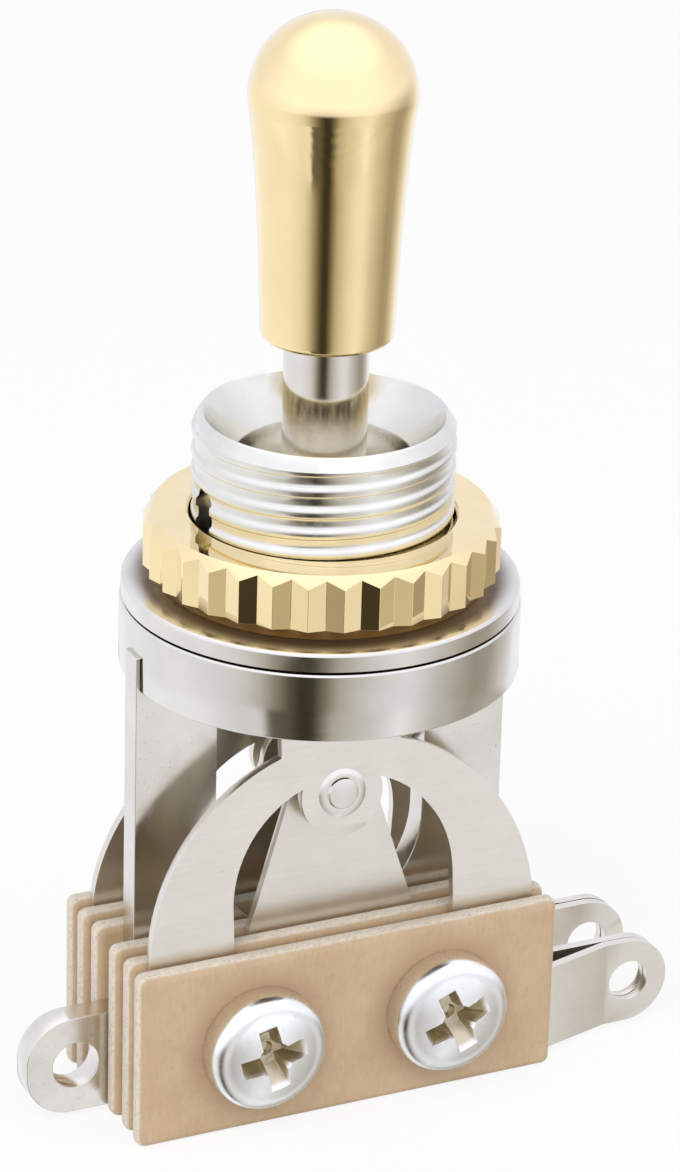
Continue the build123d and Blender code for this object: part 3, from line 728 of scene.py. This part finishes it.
for vertex in nut.data.vertices:
    if vertex.select and vertex.co.z > NUT_H / 2 * MM:
        vertex.co.z = valley_top * MM
nut.rotation_euler = Euler((0, 0, radians(NUT_TURN)))
place_mesh(nut)
soften(nut, NUT_EDGE, angle=12)
dress(nut, gold, "gold_plate", "dress_nut", "dress_nut")


# ---- Frame cup ----------------------------------------------------------------------------------
# Drawn cup of nickel-plated steel, staked to the bushing under the flange. Two slots in its rim
# take the shoulders of the centre frame.
CUP_R = 9.2
CUP_TOP = -0.9
CUP_RIM = -4.2
CUP_BORE = 8.3
CUP_EDGE_R = 0.12
CUP_INNER_R = 0.2             # round inside, where the wall meets the top
CUP_HOLE_R = SPIGOT_R + 0.03
CUP_SEAM = 0.07               # the drawn top's edge falls away from the flange by this
CUP_RIM_EDGE = 0.09
CUP_SLOT_HALF = 0.68
CUP_SLOT_TOP = -2.5

cup = turned("frame_cup_shell", [
    (CUP_HOLE_R, CUP_CEILING), (CUP_BORE - CUP_INNER_R, CUP_CEILING),
    *arc(CUP_BORE - CUP_INNER_R, CUP_CEILING - CUP_INNER_R, CUP_INNER_R, 90, 0, 4),
    (CUP_BORE, CUP_RIM + CUP_RIM_EDGE), (CUP_BORE + CUP_RIM_EDGE, CUP_RIM),
    *arc(CUP_R - CUP_RIM_EDGE, CUP_RIM + CUP_RIM_EDGE, CUP_RIM_EDGE, -90, 0, 4),
    *arc(CUP_R - CUP_EDGE_R, CUP_TOP - CUP_SEAM - CUP_EDGE_R, CUP_EDGE_R, 0, 90, 6),
    (CUP_R - 0.9, CUP_TOP - CUP_SEAM), (CUP_R - 1.1, CUP_TOP), (CUP_HOLE_R, CUP_TOP),
    (CUP_HOLE_R, CUP_CEILING)], 192)
carve(cup, brick((-CUP_R - 1, -CUP_SLOT_HALF, CUP_RIM - 1), (CUP_R + 1, CUP_SLOT_HALF, CUP_SLOT_TOP)))
shade(cup, 32)
satin_nickel = plated("satin_nickel", (0.78, 0.75, 0.67), 0.085, wave=0.0010, marks=0.00022, grain=0.0001)
dress(cup, satin_nickel, "nickel_satin", "frame", "frame_cup")


# ---- Centre frame -------------------------------------------------------------------------------
# Thick blanked plate that everything is clamped to, with a U window for the springs and its own
# ground lug at the left. Its cut edges are tumbled smooth before it is plated.
FRAME_EDGE = 0.07
CAD_WELD = 0.002              # joins the corners of a CAD node's loose triangles


def blanked_copy(node, name, edge, levels=()):
    """A copy of a flat CAD node with its triangles joined into faces, cut across at each of the
    levels, and its edges broken."""
    piece = bpy.data.objects.new(name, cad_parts[node].data.copy())
    bpy.context.collection.objects.link(piece)
    pick(piece)
    bpy.ops.object.mode_set(mode="EDIT")
    bpy.ops.mesh.customdata_custom_splitnormals_clear()
    bpy.ops.mesh.select_all(action="SELECT")
    bpy.ops.mesh.remove_doubles(threshold=CAD_WELD * MM)
    bpy.ops.mesh.dissolve_limited(angle_limit=radians(1.0))
    for z in levels:
        bpy.ops.mesh.select_all(action="SELECT")
        bpy.ops.mesh.bisect(plane_co=(0, 0, z * MM), plane_no=(0, 0, 1), threshold=WELD * MM)
    bpy.ops.object.mode_set(mode="OBJECT")
    soften(piece, edge)
    return piece


centre_frame = blanked_copy("frame_plate", "centre_frame", FRAME_EDGE)
frame_nickel = plated("frame_nickel", (0.80, 0.76, 0.665), 0.20, wave=0.0016, grain=0.0004, specks=0.35)
dress(centre_frame, frame_nickel, "nickel_satin", "frame", "frame_plate")


# ---- Insulating plates --------------------------------------------------------------------------
# Six plates sawn from tan phenolic laminate, three in front of the frame and three behind it, with
# the springs clamped between them. Their faces are darker round the screws' heads and nuts, partly
# from a real stain and partly as painted shade.
STACK_MID = -21.05            # height of the plates' middle and of the screws
PLATE_L = 21.4
PLATE_H = 8.9
PLATE_T = 1.05
PLATE_CORNER_R = 0.45
PLATE_BREAK = 0.03
PLATE_HOLE_R = 2.06
LAYERS = {"inner": 0.65, "middle": 2.15, "outer": 3.65}       # inner faces from the frame's middle
SHIFTS = {"inner": (0.04, 0.03), "middle": (-0.05, 0), "outer": (0.02, 0)}    # along X and up
SCREWS = {"left": -4.7, "right": 4.7}
HALO_IN = 2.9                 # a dark patch fades out between these two radii
HALO_OUT = 4.3
HALO_SHARE = 0.6
HALO_STAIN_AND_SHADE = (0.46, 0.285, 0.165)


def from_screws(shader, place):
    """The distance from the nearer screw's axis."""
    left, right = (shader.reach(shader.vector("SUBTRACT", place, (x * MM, 0, STACK_MID * MM)), (1, 0, 1))
                   for x in SCREWS.values())
    return left.least(right)


def stain_and_shade_round_heads(shader, place):
    """The share of the dark patches round the screws, at both ends: partly a real stain and partly painted
    shade.
    """
    return (1 - from_screws(shader, place).rise(HALO_IN * MM, HALO_OUT * MM)) * HALO_SHARE


tan_phenolic = phenolic("tan_phenolic", (0.640, 0.480, 0.310), (0.545, 0.385, 0.235), (0.79, 0.70, 0.585),
                        painted_shade=(stain_and_shade_round_heads, HALO_STAIN_AND_SHADE))
plain_plate = brick((-PLATE_L / 2, 0, STACK_MID - PLATE_H / 2),
                    (PLATE_L / 2, PLATE_T, STACK_MID + PLATE_H / 2))
for edge in plain_plate.data.edges:
    a, b = (plain_plate.data.vertices[v].co for v in edge.vertices)
    edge.select = abs(a.y - b.y) > PLATE_T / 2 * MM
unselect(plain_plate.data.vertices, plain_plate.data.polygons)
bpy.ops.object.mode_set(mode="EDIT")
bpy.ops.mesh.select_mode(type="EDGE")
bpy.ops.mesh.bevel(offset=PLATE_CORNER_R * MM, segments=6)
bpy.ops.object.mode_set(mode="OBJECT")
for x in SCREWS.values():
    carve(plain_plate, bar(PLATE_HOLE_R, (x, 0.5, STACK_MID), 4, "Y"))
soften(plain_plate, PLATE_BREAK)
for side_name, side in (("front", -1), ("back", 1)):
    for layer, y in LAYERS.items():
        plate = plain_plate.copy()
        plate.data = plain_plate.data.copy()
        bpy.context.collection.objects.link(plate)
        plate.name = "plate_" + layer + "_" + side_name
        dx, dz = SHIFTS[layer]
        plate.location = (dx * side * MM, (y if side > 0 else -y - PLATE_T) * MM, dz * MM)
        place_mesh(plate)
        dress(plate, tan_phenolic, "phenolic_tan", "frame", "insulator_" + layer + "_" + side_name)
bpy.data.objects.remove(plain_plate)

for name in SCREWS:
    cover(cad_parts["screw_sleeve_" + name], dark_phenolic)


# ---- Spring leaves ------------------------------------------------------------------------------
# Four leaves blanked from rolled nickel silver strip: on each side an arch that the cam presses and
# a tongue that it closes on. All lean in from the stacks, and their tails are the solder lugs.
LEAF_EDGE = 0.05
FLEX_LOW = -14.2              # a leaf stands still below this height
FLEX_STEP = 0.9
FLEX_CUTS = 12


def rolled_strip(name, colour):
    """Rolled sheet: faint lines along the strip, cloudy sheen and a few handling marks."""
    shader = Shader(bpy.data.materials.new(name))
    place = shader.node("TexCoord").out("Object")
    clouds = shader.noise(place, 330, 3.0, 0.6)
    lines = shader.noise(shader.vector("MULTIPLY", place, (0.05, 1.0, 1.0)), 9000, 3.0, 0.6)
    marks = shader.noise(shader.vector("MULTIPLY", place, (0.35, 1.0, 1.6)), 1500, 4.0, 0.7)
    base = shader.mix(clouds.rise(0.3, 0.7) * 0.6 + lines.rise(0.3, 0.7) * 0.4,
                      tuple(c * 0.90 for c in colour), colour)
    base = shader.mix(marks.rise(0.62, 0.74) * 0.25, base, tuple(c * 0.62 for c in colour))
    relief = lines * (0.0006 * MM) + clouds * (0.006 * MM) + marks * (0.001 * MM)
    bump = shader.node("Bump", None, Strength=1.0, Distance=1.0, Height=relief)
    surface = shader.node("BsdfPrincipled", None, Base_Color=base, Metallic=1.0,
                          Roughness=clouds * 0.12 + marks * 0.10 + 0.20, Normal=bump)
    shader.node("OutputMaterial", None, Surface=surface)
    return shader.owner


def flexes(piece, finish, slot, *nodes):
    """Dresses a piece of a spring: its material, its place baked into its mesh, and its CAD nodes hidden.
    The real spring bends out with the lever from its clamped foot.
    """
    cover(piece, finish)
    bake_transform(piece)
    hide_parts(*nodes)


nickel_silver = rolled_strip("nickel_silver", (0.81, 0.76, 0.655))
levels = [FLEX_LOW + FLEX_STEP * i for i in range(FLEX_CUTS)]
for side_name in ("front", "back"):
    for spring in ("arch", "tongue"):
        node = spring + "_leaf_" + side_name
        leaf = blanked_copy(node, node + "_strip", LEAF_EDGE, levels)
        flexes(leaf, nickel_silver, "spring_nickel", node)


# ---- Contacts -----------------------------------------------------------------------------------
# Silver rivets, one through each leaf, that meet between the arch and the tongue. Closing them has
# left a flat button inside a shallow ring on the outside.
CONTACT_Z = -9.9
BEND_Z = -16.3                # the leaves lean in from this height
LEAF_T = 0.45
ARCH_Y = 3.2                  # inner face of the arch's foot
ARCH_LEAN = 6.0
TONGUE_Y = 1.7
TONGUE_LEAN = 3.0
CONTACT_R = 1.0
CONTACT_HIGH = 0.357          # off its leaf, at the top of its dome
CONTACT_DOME = 0.12
DOME_RINGS = 6
RIVET_R = 0.55
BUTTON_R = 0.74
BUTTON_T = 0.15
BUTTON_EDGE_R = 0.06
PRESS_R = 1.2                 # the shallow ring
PRESS_T = 0.05

silver = plated("contact_silver", (0.80, 0.765, 0.675), 0.17, wave=0.0008, grain=0.0004)


def rivet(name, inner_face, lean, side, outward):
    """A contact standing on a leaning leaf, facing the other leaf of its pair."""
    back = -LEAF_T
    press = back - PRESS_T
    rings = [1 - i / DOME_RINGS for i in range(DOME_RINGS)]
    piece = turned(name, [
        (0, back - BUTTON_T),
        *arc(BUTTON_R - BUTTON_EDGE_R, back - BUTTON_T + BUTTON_EDGE_R, BUTTON_EDGE_R, -90, 0, 4),
        (BUTTON_R + 0.03, press - 0.01), (BUTTON_R + 0.14, press - 0.02), (PRESS_R - 0.14, press),
        (PRESS_R, back + 0.005), (RIVET_R, back + 0.01), (RIVET_R, 0), (CONTACT_R, 0),
        *((CONTACT_R * out, CONTACT_HIGH - CONTACT_DOME * out**2) for out in rings), (0, CONTACT_HIGH)], 64)
    angle = radians(lean)
    y = inner_face - (CONTACT_Z - BEND_Z) * tan(angle)
    tilt = radians(90) + angle
    if outward:
        y += LEAF_T / cos(angle)
        tilt = angle - radians(90)
    piece.rotation_euler = Euler((tilt, 0, 0))
    piece.location = Vector((0, y, CONTACT_Z)) * MM
    place_mesh(piece)
    if side < 0:
        piece.rotation_euler = Euler((0, 0, pi))
        place_mesh(piece)
    shade(piece, 40)
    return piece


for side_name, side in (("front", -1), ("back", 1)):
    for spring, y, lean in (("arch", ARCH_Y, ARCH_LEAN), ("tongue", TONGUE_Y, TONGUE_LEAN)):
        node = spring + "_contact_" + side_name
        piece = rivet(node + "_rivet", y, lean, side, spring == "tongue")
        flexes(piece, silver, "contact_silver", node)


# ---- Screws -------------------------------------------------------------------------------------
# Two zinc-plated M3 pan-head screws from the front hold both stacks to the frame. The cross recess
# is punched, so its edges are drawn in slightly and its wings slope down to the middle.
STACK_Y = 4.7                 # outer faces from the frame's middle
SCREW_R = 1.5
SCREW_PITCH = 0.5
SCREW_DEPTH = 0.29
SCREW_TAIL = 3.0              # past the back face
SCREW_TIP_R = 1.15            # the bevelled end
SCREW_TIP_H = 0.45
THREAD_L = 4.0
HEAD_R = 2.9
HEAD_H = 1.9
HEAD_ROUND = 0.62
CROWN_R = 6.915               # round of the head's face
WING_L = 3.75
WING_W = 1.0
WING_DEPTH = 1.3
WING_TAPER = 0.42             # shares of its length and of its width that a wing keeps at the bottom
WING_NARROW = 0.72
CORE_R = 0.95                 # the cross's middle, a cone that goes deeper than the wings
CORE_TIP_R = 0.25
CORE_DEEPER = 0.325
# colour of the painted shade inside the cross recess
RECESS_SHADE_BROWN = (0.56, 0.49, 0.345)
SCREW_TURNS = {"left": 13, "right": 23}


def recess(shader, place):
    """The share of painted shade, by the way down from the head's crown into the cross. Nothing ends it
    below the cross, so the whole shank, its end and the bevels of the screw nuts' bores take the recess's
    painted brown shade too."""
    away = from_screws(shader, place)
    crown = away * away * (0.5 / (CROWN_R * MM)) - (STACK_Y + HEAD_H) * MM
    depth = shader.node("SeparateXYZ", None, place).out("Y") - crown
    return depth.rise(0.04 * MM, 0.40 * MM) * (1 - away.rise(1.95 * MM, 2.0 * MM))


# The zinc is painted brown down in the cross recess, as painted shade.
zinc = plated("zinc_plating", (0.92, 0.915, 0.87), 0.27, wave=0.0012, grain=0.0007, specks=0.25,
              painted_shade=(recess, RECESS_SHADE_BROWN, 0))


def wing(turn):
    """The tool for one bar of the cross: wide at the face, short and narrow at the bottom."""
    tool = brick((-WING_L / 2, -WING_W / 2, HEAD_H - WING_DEPTH), (WING_L / 2, WING_W / 2, HEAD_H + 0.1))
    for vertex in tool.data.vertices:
        if vertex.co.z < (HEAD_H - 0.5) * MM:
            vertex.co.x *= WING_TAPER
            vertex.co.y *= WING_NARROW
    tool.rotation_euler = Euler((0, 0, turn))
    place_mesh(tool)
    return tool


def screw_piece(name, turn):
    """A screw with its axis on Z and its head upwards."""
    crown_foot = sqrt(CROWN_R**2 - (HEAD_R - HEAD_ROUND)**2)
    edge_z = HEAD_H - CROWN_R + crown_foot
    crown = arc(0, HEAD_H - CROWN_R, CROWN_R, degrees(asin(crown_foot / CROWN_R)), 90, 12)
    head = turned(name, [
        (0, 0), (HEAD_R - 0.05, 0), (HEAD_R, 0.05), (HEAD_R, edge_z - HEAD_ROUND),
        *arc(HEAD_R - HEAD_ROUND, edge_z - HEAD_ROUND, HEAD_ROUND, 0, 82, 6)[1:],
        *crown[:-1], (0, HEAD_H)], 128)
    for step in (0, pi / 2):
        carve(head, wing(turn + step))
    core_foot = HEAD_H - WING_DEPTH - CORE_DEEPER
    core_top = HEAD_H + 0.125
    bpy.ops.mesh.primitive_cone_add(vertices=24, radius1=CORE_TIP_R * MM, radius2=CORE_R * MM,
                                    depth=(core_top - core_foot) * MM,
                                    location=(0, 0, (core_foot + core_top) / 2 * MM))
    core = bpy.context.object
    place_mesh(core)
    carve(head, core)
    soften(head, 0.05, angle=30)
    tail = -2 * STACK_Y - SCREW_TAIL
    top = tail + THREAD_L
    shank = threaded_rod(name + "_shank", SCREW_R, SCREW_PITCH, SCREW_DEPTH, tail, top, 48)
    end = turned(name + "_end", [(0, tail), (SCREW_TIP_R, tail), (SCREW_R + 0.1, tail + SCREW_TIP_H),
                                 (SCREW_R + 0.1, top + 0.1), (0, top + 0.1)], 48)
    carve(shank, end, "INTERSECT")
    tidy_mesh(shank)
    neck = turned(name + "_neck", [(0, top - 0.05), (SCREW_R, top - 0.05), (SCREW_R, 0.1), (0, 0.1)], 48)
    for piece in (shank, neck):
        shade(piece, 34)
    pick(shank, neck, head)
    bpy.ops.object.join()
    return head


for name, x in SCREWS.items():
    screw = screw_piece("screw_pan_" + name, radians(SCREW_TURNS[name]))
    screw.rotation_euler = Euler((pi / 2, 0, 0))
    screw.location = Vector((x, -STACK_Y, STACK_MID)) * MM
    place_mesh(screw)
    dress(screw, zinc, "zinc_bright", "frame", "screw_" + name)


# ---- Screw nuts ---------------------------------------------------------------------------------
# Plain hexagon nuts at the back, chamfered at both faces, zinc plated like the screws.
HEX_AF = 5.5
HEX_T = 2.2
HEX_DROP = 0.36
HEX_BORE_R = SCREW_R + 0.02
HEX_LEAD = 0.33               # bevel at both ends of the bore
HEX_TURNS = {"left": 8, "right": 41}

corner_r = HEX_AF / 2 / cos(pi / 6)
flat_r = HEX_AF / 2 - 0.05
for name, x in SCREWS.items():
    bpy.ops.mesh.primitive_cylinder_add(vertices=6, radius=corner_r * MM, depth=HEX_T * MM,
                                        location=(0, 0, HEX_T / 2 * MM))
    hexagon = bpy.context.object
    hexagon.name = "screw_hex_nut_" + name
    place_mesh(hexagon)
    blank = turned("hex_blank", [
        (HEX_BORE_R + HEX_LEAD, 0), (flat_r, 0), (corner_r + 0.05, HEX_DROP),
        (corner_r + 0.05, HEX_T - HEX_DROP), (flat_r, HEX_T), (HEX_BORE_R + HEX_LEAD, HEX_T),
        (HEX_BORE_R, HEX_T - HEX_LEAD), (HEX_BORE_R, HEX_LEAD), (HEX_BORE_R + HEX_LEAD, 0)], 96)
    carve(hexagon, blank, "INTERSECT")
    soften(hexagon, 0.04, angle=24)
    hexagon.rotation_euler = Euler((-pi / 2, radians(HEX_TURNS[name]), 0))
    hexagon.location = Vector((x, STACK_Y, STACK_MID)) * MM
    place_mesh(hexagon)
    dress(hexagon, zinc, "zinc_bright", "frame", "screw_nut_" + name)
